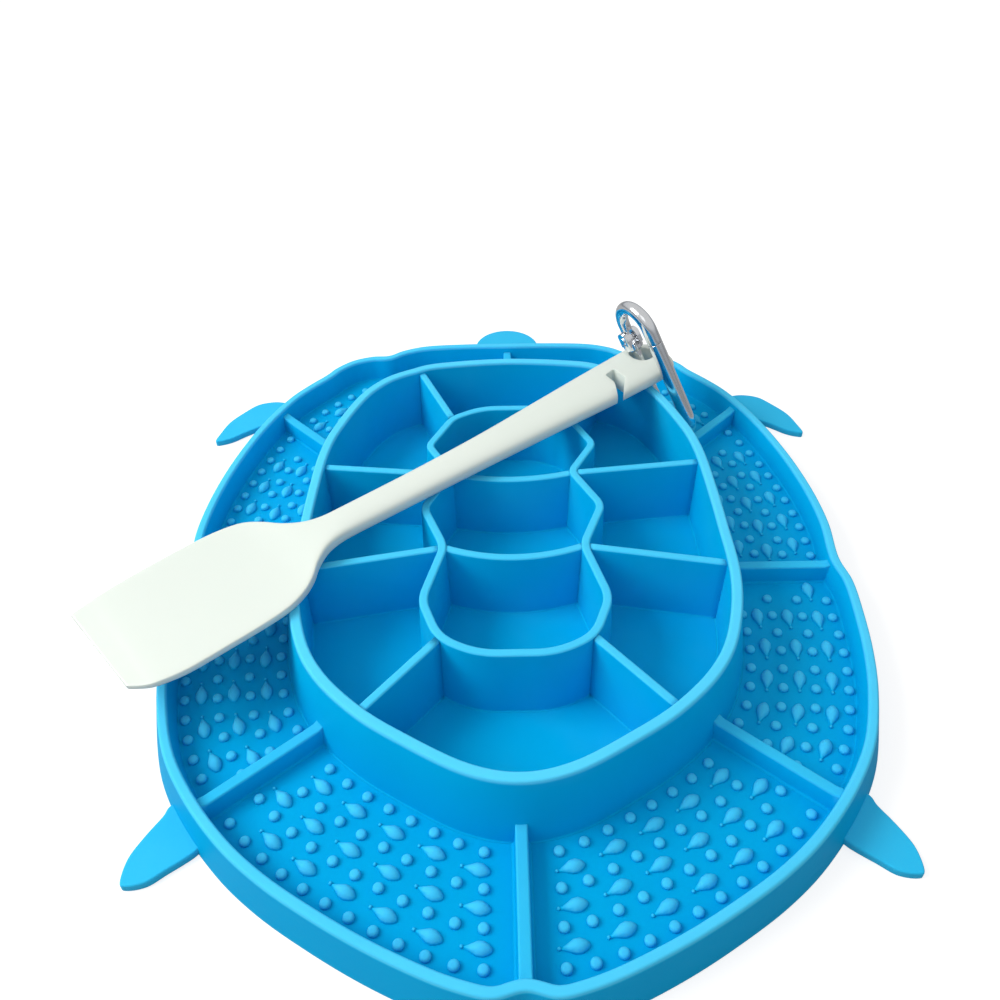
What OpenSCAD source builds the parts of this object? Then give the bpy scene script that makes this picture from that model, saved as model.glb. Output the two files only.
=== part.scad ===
// Turtle shaped lick mat with a spatula and a spring clip. All lengths are in millimetres.
// The origin is on the ground under the middle of the mat, +Z is up, and the head points to +Y.

/* [Mat] */
// Half width of the mat over the top of its rim
rim_half_w = 101; // [94:0.5:110]
// Half length of the mat over the top of its rim
rim_half_l = 123.5; // [116:0.5:134]
// Height of the rim above the ground
rim_h = 11.8; // [9:0.1:15]
// Thickness of the rim at its top
rim_t = 2.8; // [2.2:0.1:3.6]
// How far the outside of the rim flares out at its foot
rim_flare = 2.4; // [1.2:0.1:3.6]
// How far the inside of the rim leans in at its foot
rim_draft = 1; // [0.4:0.1:1.6]
// Rounding of the top edges of the rim and the basin wall
edge_r = 0.9; // [0.5:0.1:1]
// Thickness of the floor
floor_t = 1.6; // [1.2:0.1:2.4]

/* [Basin] */
// Half width of the basin to the middle of its wall
basin_half_w = 62.8; // [58:0.2:66]
// Half length of the basin to the middle of its wall
basin_half_l = 86.6; // [82:0.2:89]
// Distance of the middle of the basin behind the middle of the mat
basin_back = 5.1; // [3.5:0.1:6.5]
// Height of the basin wall above the ground
basin_h = 24.4; // [20:0.1:30]
// Thickness of the basin wall at its top
basin_t = 2.4; // [2.2:0.1:3.2]
// How far the outside of the basin wall flares out at its foot
basin_flare = 2.4; // [1.2:0.1:3.2]
// How far the inside of the basin wall leans in at its foot
basin_draft = 1; // [0.4:0.1:1.6]

/* [Dividers] */
// Thickness of a divider at its top
divider_t = 2; // [1.6:0.1:2.6]
// How far each side of a divider leans out at its foot
divider_draft = 0.6; // [0.2:0.1:1]
// How far the dividers stop below the rounded edge of the basin wall
divider_drop = 0.3; // [0:0.1:3]
// Rounding of the bends of the dividers
divider_bend = 4; // [2:0.5:5]

/* [Ribs] */
// Thickness of a rib at its top
rib_t = 2.8; // [2:0.1:3.6]
// How far each side of a rib leans out at its foot
rib_draft = 0.6; // [0.2:0.1:1]
// How far the ribs stop below the rounded edge of the rim
rib_drop = 1.9; // [0:0.1:3]

/* [Nubs] */
// Diameter of a round nub at its foot
dot_d = 2.8; // [2:0.1:3.4]
// Height of a round nub
dot_h = 1.3; // [0.8:0.1:1.8]
// Distance between two round nubs of a row
dot_pitch = 6.6; // [5.6:0.1:8]
// Length of a drop shaped nub
drop_l = 7; // [5:0.1:8]
// Width of a drop shaped nub
drop_w = 3.2; // [2.4:0.1:3.6]
// Height of a drop shaped nub
drop_h = 1.8; // [1.2:0.1:2]
// Distance between two drops of a row
drop_pitch = 11.4; // [11:0.1:16]
// Distance between two rows of round nubs
row_pitch = 8.8; // [8.4:0.1:10]
// Number of rows of round nubs where the trough is widest
row_count = 4; // [2:1:4]
// Distance of the first row from the edge of the mat
row_edge = 5.4; // [5.4:0.1:8]
// How much further in the first row lies at the front
row_front = 2.4; // [1:0.1:5]
// Clear strip between the nubs and the feet of the walls
nub_margin = 0.4; // [0.3:0.1:2]

/* [Flippers and head] */
// Thickness of the flippers and the head
fin_t = 2.4; // [1.8:0.1:3]
// Rounding of their top edges
fin_edge = 0.7; // [0.4:0.1:0.9]
// Reach of a fore flipper
fore_fin_l = 28; // [22:0.5:32]
// Reach of a rear flipper
rear_fin_l = 22; // [18:0.5:26]
// Width of the head
head_w = 26; // [22:0.5:32]
// How far the head stands out beyond the rim
head_l = 25; // [20:0.5:30]

/* [Spatula] */
// Length of the spatula
spatula_l = 213; // [196:0.5:224]
// Width of the blade
blade_w = 41; // [36:0.5:46]
// Width of the handle at its end
handle_w = 18.9; // [17.5:0.1:21]
// Thickness of the handle at its end
handle_t = 7; // [6:0.1:7.6]
// How deep the blade is scooped
scoop = 0.5; // [0.2:0.1:0.6]
// Diameter of the hanging hole
hang_d = 9; // [8.8:0.1:10]
// Distance of the hanging hole from the end of the handle
hang_back = 9.4; // [8.5:0.1:12]
// Width of the notch beside the hanging hole
notch_w = 4.4; // [3:0.1:5]
// Distance of the notch from the hanging hole
notch_gap = 12.6; // [11.5:0.1:15]
// Depth of the notch from the near edge of the handle
notch_l = 12.2; // [10:0.1:13]
// Direction of the handle, in degrees from +X
handle_turn = 39.6; // [34:0.2:44]
// Gap between the spatula and what it lies on
rest_gap = 0.3; // [0.2:0.1:0.6]

/* [Clip] */
// Distance between the two limbs of the clip
clip_w = 16; // [15:0.1:18]
// Diameter of the limb in the hanging hole and of the lower bend
limb_d = 3.6; // [3:0.1:3.8]
// Diameter of the bow and of the right limb where they meet
bow_d = 4.2; // [3.6:0.1:4.6]
// Height of the upper bend above the hanging hole
clip_up = 15.3; // [15:0.1:18]
// Depth of the lower bend below the hanging hole
clip_down = 20.5; // [16:0.1:20.7]
// Height of the seam between bow and right limb above the hanging hole
seam_up = 10; // [7:0.1:12]
// Gap at that seam
seam_gap = 0.15; // [0.1:0.05:0.3]
// Diameter of the knuckle
knuckle_d = 7; // [6.8:0.1:7.6]
// Height of the knuckle's rivet above the hanging hole
pivot_up = 10.4; // [10.2:0.1:11]
// Diameter of the rivet
rivet_d = 1.8; // [1.4:0.1:2]
// Radial clearance round the rivet
rivet_fit = 0.05; // [0.02:0.01:0.1]
// Width of the slot in the knuckle
slot_w = 2.8; // [2.7:0.1:3]
// Thickness of the bow's tang
tang_t = 1.2; // [1:0.1:1.3]
// Diameter of the spring's wire
wire_d = 0.36; // [0.3:0.02:0.4]
// Lean of the clip in the hanging hole, in degrees about X, Y and Z
clip_lean = [17, -22.5, -63.5];

/* [Hidden] */

silicone = [0.13, 0.62, 0.88];
white = [0.94, 0.95, 0.92];
chrome = [0.8, 0.81, 0.83];

// Overrun of cuts
over = 1;
// Share of a rounded edge at which its middle point lies
corner_share = 1 - cos(45);

// Right half of the rim's top edge, from the tail end to the head end, in shares of the half sizes
rim_shares = [
    [0, -0.997], [0.064, -1.004], [0.119, -0.996], [0.208, -0.972], [0.342, -0.923],
    [0.47, -0.866], [0.594, -0.802], [0.703, -0.729], [0.81, -0.632], [0.894, -0.526],
    [0.949, -0.401], [0.978, -0.291], [0.994, -0.178], [1, -0.081], [0.986, 0],
    [0.998, 0.121], [0.99, 0.243], [0.965, 0.372], [0.926, 0.498], [0.879, 0.607],
    [0.818, 0.709], [0.762, 0.773], [0.701, 0.831], [0.668, 0.87], [0.609, 0.912],
    [0.535, 0.934], [0.47, 0.938], [0.411, 0.968], [0.317, 0.992], [0.158, 1], [0, 1]
];
// The same edge without its scallops, which the rows of nubs follow
row_shares = [
    [0, -1], [0.208, -0.975], [0.47, -0.867], [0.703, -0.728], [0.894, -0.522], [0.978, -0.291],
    [0.988, -0.05], [0.985, 0.22], [0.92, 0.47], [0.8, 0.68], [0.62, 0.85], [0.42, 0.94],
    [0.2, 0.985], [0, 0.995]
];
// Right half of the basin wall's middle line, in shares of the basin's half sizes
basin_shares = [
    [0, -1], [0.204, -0.97], [0.439, -0.878], [0.637, -0.781], [0.815, -0.651],
    [0.924, -0.503], [0.994, -0.283], [1, -0.018], [0.995, 0.212], [0.981, 0.462],
    [0.955, 0.62], [0.854, 0.762], [0.637, 0.901], [0.446, 0.965], [0.255, 0.991], [0, 1]
];
// Ribs: end in the rim, in shares of the mat, and end in the basin wall, in shares of the basin
rib_front_shares = [[0, -0.985], [0, -0.985]];
rib_front_side_shares = [[0.798, -0.647], [0.788, -0.682]];
rib_side_shares = [[0.98, -0.004], [0.98, -0.065]];
rib_back_side_shares = [[0.847, 0.664], [0.924, 0.576]];
rib_back_shares = [[0, 0.985], [0, 0.985]];

// Dividers: bends of their middle lines in shares of the basin's half sizes
neck_back_share = [0.307, 0.27];
neck_front_share = [0.328, -0.115];
crown_share = [0.314, 0.61];
foot_share = [0.334, -0.511];
chain_shares = [
    foot_share, [0.416, -0.356], neck_front_share, [0.435, 0.082], neck_back_share,
    [0.433, 0.434], crown_share
];
crown_arc_share = 0.672;
back_cross_share = 0.237;
front_cross_share = -0.165;
foot_arc_share = -0.575;
spokes_shares = [
    [crown_share, [0.54, 0.99]],
    [neck_back_share, [1.05, 0.33]],
    [neck_front_share, [1.05, -0.215]],
    [foot_share, [0.69, -0.82]]
];

// Flippers and head: outlines from their place on the rim, in shares of their reach, and the first
// and last point of the rim between which each is cut to it
fore_fin_place_share = [0.847, 0.688];
fore_fin_shares = [
    [-0.27, 0.11], [-0.13, -0.11], [0.16, -0.02], [0.38, -0.14], [0.52, -0.24], [0.63, -0.33],
    [0.75, -0.39], [0.86, -0.4], [0.83, -0.23], [0.75, 0.02], [0.58, 0.26], [0.45, 0.4],
    [0.29, 0.46], [0.12, 0.46], [-0.13, 0.36]
];
fore_fin_points = [17, 25];
rear_fin_place_share = [0.817, -0.623];
rear_fin_shares = [
    [-0.43, -0.14], [-0.2, -0.41], [-0.09, -0.51], [0.09, -0.64], [0.27, -0.77], [0.47, -0.81],
    [0.55, -0.76], [0.54, -0.5], [0.43, -0.25], [0.29, -0.01], [0.23, 0.13], [-0.02, 0.32]
];
rear_fin_points = [6, 11];
head_root_share = 0.95;
head_points = [27, 33];
head_sides = 15;

// Spatula, from the tip to the neck: place along its length and half width share of the blade,
// on the near and the far edge, then the share of the handle's thickness
blade_shares = [
    [0.009, 0.746, 0, 0.863, 0.24], [0.026, 0.893, 0.022, 0.902, 0.28],
    [0.041, 0.966, 0.043, 0.932, 0.33], [0.076, 1.025, 0.08, 0.971, 0.36],
    [0.13, 1.02, 0.13, 1.01, 0.37], [0.183, 1, 0.183, 1.03, 0.39], [0.217, 0.961, 0.217, 1.02, 0.42],
    [0.244, 0.859, 0.244, 0.946, 0.47], [0.265, 0.712, 0.265, 0.78, 0.54],
    [0.285, 0.517, 0.285, 0.537, 0.62], [0.308, 0.361, 0.308, 0.38, 0.7]
];
// Handle: place along its length, half width share of the handle, share of its thickness
handle_shares = [
    [0.333, 0.645, 0.76], [0.366, 0.62, 0.8], [0.45, 0.63, 0.82], [0.53, 0.66, 0.85],
    [0.624, 0.7, 0.88], [0.742, 0.8, 0.94], [0.836, 0.9, 0.98], [0.92, 0.97, 1], [0.96, 1, 1],
    [0.98, 0.92, 0.97], [0.993, 0.72, 0.88], [1, 0.38, 0.66]
];
// Squareness of the spatula's cross section at the blade and at the handle
blade_square_share = 0.2;
handle_square_share = 0.7;
blade_end_share = 0.25;
neck_end_share = 0.37;
section_sides = 16;

// Drop shaped nub: outline, ring below its top and top, in shares of its length and width
drop_shares = [
    [-0.5, 0], [-0.33, -0.42], [-0.1, -0.46], [0.2, -0.2], [0.5, 0], [0.2, 0.2], [-0.1, 0.46],
    [-0.33, 0.42]
];
drop_ring_share = 0.62;
drop_ring_height_share = 0.75;
drop_top_share = -0.22;
// Phases of the rows of dots and of drops in each sector, in shares of their pitches
dot_phase_shares = [0.37, 0.75, 0.66, 0.66];
drop_phase_shares = [[0.95, 0.98, 0.99], [0.48, 0.33, 0.16], [0.22, 0.78, 0.73], [0.5, 0.5, 0.5]];
// Round nub: radius and height shares of its shoulder and its top
dot_shares = [[1, 0], [0.86, 0.55], [0.5, 0.95], [0, 1]];

// Place of the hanging hole over the basin, in shares of the basin's half sizes
hang_share = [0.7672, 0.9094];

function mirrored(half) =
    concat(half, [for (i = [len(half) - 2 : -1 : 1]) [-half[i][0], half[i][1]]]);
function sized(shares, w, l, back = 0) = [for (s = shares) [s[0] * w, back + s[1] * l]];
function spline_point(a, b, c, d, t) =
    b + (c - a) * t / 2 + (a - 2.5 * b + 2 * c - d / 2) * t * t
    + (d - 3 * c + 3 * b - a) * t * t * t / 2;
function spline_loop(p, steps) =
    let (n = len(p))
    [for (i = [0 : n - 1]) for (k = [0 : steps - 1])
        spline_point(p[(i + n - 1) % n], p[i], p[(i + 1) % n], p[(i + 2) % n], k / steps)];
function spline_path(p, steps) =
    let (n = len(p))
    concat([for (i = [0 : n - 2]) for (k = [0 : steps - 1])
        spline_point(p[max(i - 1, 0)], p[i], p[i + 1], p[min(i + 2, n - 1)], k / steps)],
        [p[n - 1]]);
function unit(v) = v / norm(v);
function right_of(v) = [v[1], -v[0]];
function cross_2d(a, b) = a[0] * b[1] - a[1] * b[0];
// Outward normal at point i of a loop that runs anticlockwise
function outward(loop, i) =
    let (n = len(loop)) right_of(unit(loop[(i + 1) % n] - loop[(i + n - 1) % n]));
function inset(loop, d) = [for (i = [0 : len(loop) - 1]) loop[i] - d * outward(loop, i)];
// Stretch of an inset loop, closed through the middle of the mat
function inset_part(loop, d, first, last) =
    concat([[0, 0]], [for (i = [first : last]) loop[i] - d * outward(loop, i)]);
function lifted(loop, z) = [for (p = loop) [p[0], p[1], z]];
// Top of a wall from its outer to its inner edge, as inset and height
function wall_top(from, t, h) = [
    [from, h - edge_r],
    [from + corner_share * edge_r, h - corner_share * edge_r],
    [from + edge_r, h],
    [from + t - edge_r, h],
    [from + t - corner_share * edge_r, h - corner_share * edge_r],
    [from + t, h - edge_r]
];
// Point a bit below the lower end of a slope, in line with it
function lowered(low, high) = low - over / (high[1] - low[1]) * (high - low);
function quad(a, b, c, d) = [[a, d, c], [a, c, b]];
function side_faces(n, from, to) =
    [for (j = [from : to - 1]) for (i = [0 : n - 1])
        each quad(j * n + i, j * n + (i + 1) % n, (j + 1) * n + (i + 1) % n, (j + 1) * n + i)];

rim_steps = 3;
basin_steps = 4;
rim_loop = spline_loop(mirrored(sized(rim_shares, rim_half_w, rim_half_l)), rim_steps);
basin_loop = spline_loop(mirrored(sized(basin_shares, basin_half_w, basin_half_l, basin_back)),
    basin_steps);

rim_foot = rim_t + rim_draft;
basin_outer_foot = -basin_t / 2 - basin_flare;
basin_inner_foot = basin_t / 2 + basin_draft;
// Closed band along a loop, with a closed profile of insets and heights
module band(loop, profile) {
    n = len(loop);
    m = len(profile);
    points = [for (p = profile) each lifted(inset(loop, p[0]), p[1])];
    closing = [for (i = [0 : n - 1])
        each quad((m - 1) * n + i, (m - 1) * n + (i + 1) % n, (i + 1) % n, i)];
    polyhedron(points, concat(side_faces(n, 0, m - 1), closing));
}
// Faces of a flat end: strips between the two sides of its loop, or rays from its first point
function strips(n) =
    concat([[0, 1, n - 1]], [for (i = [1 : ceil(n / 2) - 2]) each quad(i, n - i, n - i - 1, i + 1)],
        n % 2 == 0 ? [[n / 2 - 1, n / 2, n / 2 + 1]] : []);
function rays(n) = [for (i = [1 : n - 2]) [0, i, i + 1]];
// Solid between a stack of loops with flat ends
module stack(loops, star = false) {
    n = len(loops[0]);
    m = len(loops);
    bottom = star ? rays(n) : strips(n);
    top = [for (f = bottom) [for (i = [2, 1, 0]) (m - 1) * n + f[i]]];
    polyhedron([for (loop = loops) each loop], concat(bottom, side_faces(n, 0, m - 1), top));
}
module filled(loop, profile) {
    stack([for (p = profile) lifted(inset(loop, p[0]), p[1])]);
}

// Rounds the bends of a path that isn't closed
function softened(path, r) =
    let (last = len(path) - 1)
    concat([path[0]],
        [for (i = [1 : last - 1])
            let (a = path[i] + min(r, norm(path[i - 1] - path[i]) / 2) * unit(path[i - 1] - path[i]),
                b = path[i] + min(r, norm(path[i + 1] - path[i]) / 2) * unit(path[i + 1] - path[i]))
            each [a, (a + 2 * path[i] + b) / 4, b]],
        [path[last]]);
// Path made longer at both ends
function lengthened(path, d) =
    let (last = len(path) - 1)
    concat([path[0] + d * unit(path[0] - path[1])], [for (i = [1 : last - 1]) path[i]],
        [path[last] + d * unit(path[last] - path[last - 1])]);
// Normal of a path at point i, as long as a mitre needs
function mitre(path, i) =
    let (last = len(path) - 1,
        before = unit(path[max(i, 1)] - path[max(i, 1) - 1]),
        after = unit(path[min(i, last - 1) + 1] - path[min(i, last - 1)]),
        middle = unit(before + after))
    right_of(middle) / (middle * before);
// Upright wall along a path, thinner at its rounded top
module wall(path, t, draft, from, to) {
    profile = [
        [-t / 2 - draft, from], [-t / 2, to - t / 2],
        [-t / 2 * cos(45), to - t / 2 * corner_share], [0, to],
        [t / 2 * cos(45), to - t / 2 * corner_share], [t / 2, to - t / 2],
        [t / 2 + draft, from]
    ];
    stack([for (i = [0 : len(path) - 1])
        [for (p = profile) let (q = path[i] + p[0] * mitre(path, i)) [q[0], q[1], p[1]]]]);
}

module mat_floor() {
    color(silicone)
        linear_extrude(floor_t) polygon(inset(rim_loop, rim_foot));
}

module mat_rim() {
    color(silicone)
        band(rim_loop, concat([[-rim_flare, 0]], wall_top(0, rim_t, rim_h),
            [[rim_foot, floor_t], [rim_foot, 0]]));
}

module basin_wall() {
    color(silicone)
        band(basin_loop, concat([[basin_outer_foot, floor_t]],
            wall_top(-basin_t / 2, basin_t, basin_h), [[basin_inner_foot, floor_t]]));
}

// Ribs of the right half with those on the middle line, from the front to the back
ribs = [
    for (r = [rib_front_shares, rib_front_side_shares, rib_side_shares, rib_back_side_shares,
            rib_back_shares])
        [[r[0][0] * rim_half_w, r[0][1] * rim_half_l],
            [r[1][0] * basin_half_w, basin_back + r[1][1] * basin_half_l]]
];

module rib(ends) {
    wall(ends, rib_t, rib_draft, floor_t, rim_h - edge_r - rib_drop);
}

module mat_ribs() {
    color(silicone)
        intersection() {
            difference() {
                filled(rim_loop, [lowered([rim_foot, floor_t], [rim_t, rim_h - edge_r]),
                    [rim_t, rim_h - edge_r]]);
                filled(basin_loop,
                    [lowered([basin_outer_foot, floor_t], [-basin_t / 2, basin_h - edge_r]),
                    [-basin_t / 2, basin_h - edge_r]]);
            }
            union() {
                for (i = [0 : 4]) rib(ribs[i]);
                mirror([1, 0, 0]) for (i = [1 : 3]) rib(ribs[i]);
            }
        }
}

function at_basin(s) = [s[0] * basin_half_w, basin_back + s[1] * basin_half_l];
function flipped(p) = [-p[0], p[1]];
function across(shares, ends_share) =
    concat([flipped(ends_share)], shares, [ends_share]);

module divider(path) {
    wall(softened(lengthened(path, divider_t / 4), divider_bend), divider_t, divider_draft,
        floor_t - over, basin_h - edge_r - divider_drop);
}

module half_dividers() {
    divider([for (s = chain_shares) at_basin(s)]);
    for (s = spokes_shares) divider([at_basin(s[0]), at_basin((s[0] + s[1]) / 2), at_basin(s[1])]);
}

module basin_dividers() {
    bend_share = crown_share[0] / 2;
    color(silicone)
        intersection() {
            filled(basin_loop, [[basin_inner_foot, floor_t], [basin_t / 2, basin_h - edge_r]]);
            union() {
                half_dividers();
                mirror([1, 0, 0]) half_dividers();
                divider([for (s = across([[-bend_share, crown_arc_share],
                    [bend_share, crown_arc_share]], crown_share)) at_basin(s)]);
                divider([for (s = across([[0, back_cross_share]], neck_back_share)) at_basin(s)]);
                divider([for (s = across([[0, front_cross_share]], neck_front_share)) at_basin(s)]);
                divider([for (s = across([[-bend_share, foot_arc_share],
                    [bend_share, foot_arc_share]], foot_share)) at_basin(s)]);
            }
        }
}

// Flat limb with rounded top edges, cut to the outside of the rim between two of its points
module fin(loop, points) {
    difference() {
        filled(loop, [[0, 0], [0, fin_t - fin_edge],
            [corner_share * fin_edge, fin_t - corner_share * fin_edge], [fin_edge, fin_t]]);
        stack([for (p = [lowered([-rim_flare, 0], [0, rim_h - edge_r]), [0, rim_h - edge_r]])
            lifted(inset_part(rim_loop, p[0], points[0] * rim_steps, points[1] * rim_steps), p[1])],
            star = true);
    }
}

module fore_fin() {
    place = [fore_fin_place_share[0] * rim_half_w, fore_fin_place_share[1] * rim_half_l];
    fin(spline_loop([for (s = fore_fin_shares) place + s * fore_fin_l], 2), fore_fin_points);
}

module rear_fin() {
    place = [rear_fin_place_share[0] * rim_half_w, rear_fin_place_share[1] * rim_half_l];
    fin(spline_loop([for (s = rear_fin_shares) place + s * rear_fin_l], 2), rear_fin_points);
}

module fore_flipper_right() {
    color(silicone) fore_fin();
}

module fore_flipper_left() {
    color(silicone) mirror([1, 0, 0]) fore_fin();
}

module rear_flipper_right() {
    color(silicone) rear_fin();
}

module rear_flipper_left() {
    color(silicone) mirror([1, 0, 0]) rear_fin();
}

module head() {
    r = head_w / 2;
    centre = rim_half_l + head_l - r;
    root = head_root_share * rim_half_l;
    color(silicone)
        fin(concat([[-r, root], [r, root]],
            [for (k = [0 : head_sides]) let (a = 180 * k / head_sides)
                [r * cos(a), centre + r * sin(a)]]), head_points);
}

// Rows of nubs on the right half: each is a table of lengths along the row with x and y
row_guide = spline_path(sized(row_shares, rim_half_w, rim_half_l), 5);
function row_normal(i) =
    let (last = len(row_guide) - 1)
    i == 0 ? [0, -1] : i == last ? [0, 1] : right_of(unit(row_guide[i + 1] - row_guide[i - 1]));
function row_path(k) =
    [for (i = [0 : len(row_guide) - 1]) let (p = row_guide[i], front = min(0, p[1]) / rim_half_l)
        p - (row_edge + row_front * front * front + k * row_pitch) * row_normal(i)];
function running(path) =
    [for (i = 0, s = 0; i < len(path); i = i + 1, s = s + norm(path[min(i, len(path) - 1)]
        - path[i - 1])) s];
function on_row(tables, s) = [lookup(s, tables[0]), lookup(s, tables[1])];
// Places along a row as point and direction
function row_places(k, pitch, phase) =
    let (path = row_path(k),
        s = running(path),
        tables = [[for (i = [0 : len(s) - 1]) [s[i], path[i][0]]],
            [for (i = [0 : len(s) - 1]) [s[i], path[i][1]]]])
    [for (a = [phase * pitch : pitch : s[len(s) - 1]])
        [on_row(tables, a), unit(on_row(tables, a + pitch / 4) - on_row(tables, a - pitch / 4))]];
// Distance of a point from a rib's middle line, positive anticlockwise of the rib
function beside(rib, p) = cross_2d(unit(rib[0] - rib[1]), p - rib[1]);
// Distance of a point from a loop, positive outside it
function outside(loop, p) =
    let (gaps = [for (q = loop) norm(p - q)], i = search(min(gaps), gaps)[0])
    (p - loop[i]) * outward(loop, i) < 0 ? -gaps[i] : gaps[i];
function sector_places(k, pitch, phase, sector, reach_along, reach_across) =
    let (strip = rib_t / 2 + rib_draft + nub_margin + reach_along,
        wall_strip = -basin_outer_foot + nub_margin + reach_across)
    [for (q = row_places(k, pitch, phase))
        if (beside(ribs[sector], q[0]) > strip && beside(ribs[sector + 1], q[0]) < -strip
            && outside(basin_loop, q[0]) > wall_strip
            && outside(rim_loop, q[0]) < -rim_foot - nub_margin - reach_across) q];

module dot() {
    rotate_extrude($fn = 16)
        polygon(concat([[0, 0]], [for (s = dot_shares) [s[0] * dot_d / 2, s[1] * dot_h]]));
}

// Drop with its tail towards +X
module drop() {
    n = len(drop_shares);
    top = drop_top_share * drop_l;
    outline = [for (s = drop_shares) [s[0] * drop_l, s[1] * drop_w, 0]];
    ring = [for (p = outline) [top + (p[0] - top) * drop_ring_share, p[1] * drop_ring_share,
        drop_ring_height_share * drop_h]];
    polyhedron(concat(outline, ring, [[top, 0, drop_h]]),
        concat([[for (i = [0 : n - 1]) i]], side_faces(n, 0, 1),
            [for (i = [0 : n - 1]) [n + (i + 1) % n, n + i, 2 * n]]));
}

// One sector of nubs. The tails of the drops point clockwise on both halves of the mat
module nubs(sector, side) {
    color(silicone)
        translate([0, 0, floor_t]) {
            for (k = [0 : row_count - 1], q = sector_places(k, dot_pitch, dot_phase_shares[sector],
                    sector, dot_d / 2, dot_d / 2))
                translate([side * q[0][0], q[0][1], 0]) dot();
            for (k = [0 : row_count - 2], q = sector_places(k + 1 / 2, drop_pitch,
                    drop_phase_shares[sector][k], sector, drop_l / 2, drop_w / 2))
                translate([side * q[0][0], q[0][1], 0])
                    rotate([0, 0, atan2(-side * q[1][1], -q[1][0])]) drop();
        }
}

module nubs_front_right() { nubs(0, 1); }
module nubs_right_front() { nubs(1, 1); }
module nubs_right_back() { nubs(2, 1); }
module nubs_back_right() { nubs(3, 1); }
module nubs_back_left() { nubs(3, -1); }
module nubs_left_back() { nubs(2, -1); }
module nubs_left_front() { nubs(1, -1); }
module nubs_front_left() { nubs(0, -1); }

hang_place = at_basin(hang_share);
spatula_z = basin_h + rest_gap;
hang_x = spatula_l - hang_back;

// Stations of the spatula: near point, far point and thickness
stations = spline_path(concat(
    [for (s = blade_shares) [s[0] * spatula_l, -s[1] * blade_w / 2, s[2] * spatula_l,
        s[3] * blade_w / 2, s[4] * handle_t]],
    [for (s = handle_shares) [s[0] * spatula_l, -s[1] * handle_w / 2, s[0] * spatula_l,
        s[1] * handle_w / 2, s[2] * handle_t]]), 2);
function eased(x) = let (t = max(0, min(1, x))) t * t * (3 - 2 * t);
function squared(c, share) = sign(c) * pow(abs(c), share);
function section(s) =
    let (near = [s[0], s[1]], far = [s[2], s[3]], middle = (near + far) / 2, half = (far - near) / 2,
        handle = eased((middle[0] / spatula_l - blade_end_share) / (neck_end_share - blade_end_share)),
        square = blade_square_share + (handle_square_share - blade_square_share) * handle,
        dip = scoop * (1 - handle))
    [for (k = [0 : section_sides - 1])
        let (a = 360 * k / section_sides, across = squared(cos(a), square),
            up = squared(sin(a), square), p = middle - across * half,
            sunk = up > 0 ? dip * (1 - across * across) : 0)
        [p[0], p[1], s[4] / 2 * (1 + up) - sunk]];

module spatula() {
    color(white)
        translate([hang_place[0], hang_place[1], spatula_z])
            rotate([0, 0, handle_turn])
                translate([-hang_x, 0, 0])
                    difference() {
                        stack([for (s = stations) section(s)]);
                        translate([hang_x, 0, -over])
                            cylinder(d = hang_d, h = handle_t + 2 * over, $fn = 48);
                        translate([hang_x - notch_gap, -handle_w / 2 - over, -over]) {
                            translate([-notch_w / 2, 0, 0])
                                cube([notch_w, over + notch_l - notch_w / 2, handle_t + 2 * over]);
                            translate([0, over + notch_l - notch_w / 2, 0])
                                cylinder(d = notch_w, h = handle_t + 2 * over, $fn = 32);
                        }
                    }
}

// The clip is drawn upright round the hanging hole: left limb on the Z axis, right limb at +X
bend_r = clip_w / 2;
// Radius of the knuckle's cheeks round the rivet, and of the pocket between them
cheek_r = 2.9; // not more than the knuckle's radius
pocket_r = 2.6;
// Play on each side of the tang, and between the bow and the cheeks
tang_play = 0.1;
bow_play = 0.2;
// Depth of the slot's floor below the rivet's middle, which the tang clears when it is open
slot_floor = 0.7;
// Heights of the knuckle's cone and of its barrel
knuckle_cone = 1.4;
knuckle_barrel = 2.4;
knuckle_from = pivot_up - cheek_r - knuckle_cone - knuckle_barrel / 2;
cheek_flat = 0.3;
cheek_w = knuckle_d - 2 * cheek_flat;
rivet_lip = 0.45;
rivet_head_d = rivet_d + 2 * rivet_lip;
rivet_head_t = 0.35;
// The tang lies in the half of the slot towards -Y, the spring in the other
tang_from = -slot_w / 2 + tang_play;
spring_from = tang_from + tang_t + tang_play;

module on_clip() {
    translate([hang_place[0], hang_place[1], spatula_z + handle_t / 2]) rotate(clip_lean) children();
}
// Disc or bore along Y round the rivet's middle
module round_rivet(d, from, to, sides = 48) {
    translate([0, to, pivot_up]) rotate([90, 0, 0]) cylinder(d = d, h = to - from, $fn = sides);
}
module bend(d) {
    rotate([90, 0, 0])
        rotate_extrude(angle = 180, $fn = 64)
            translate([bend_r, 0]) circle(d = d, $fn = 32);
}

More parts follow.
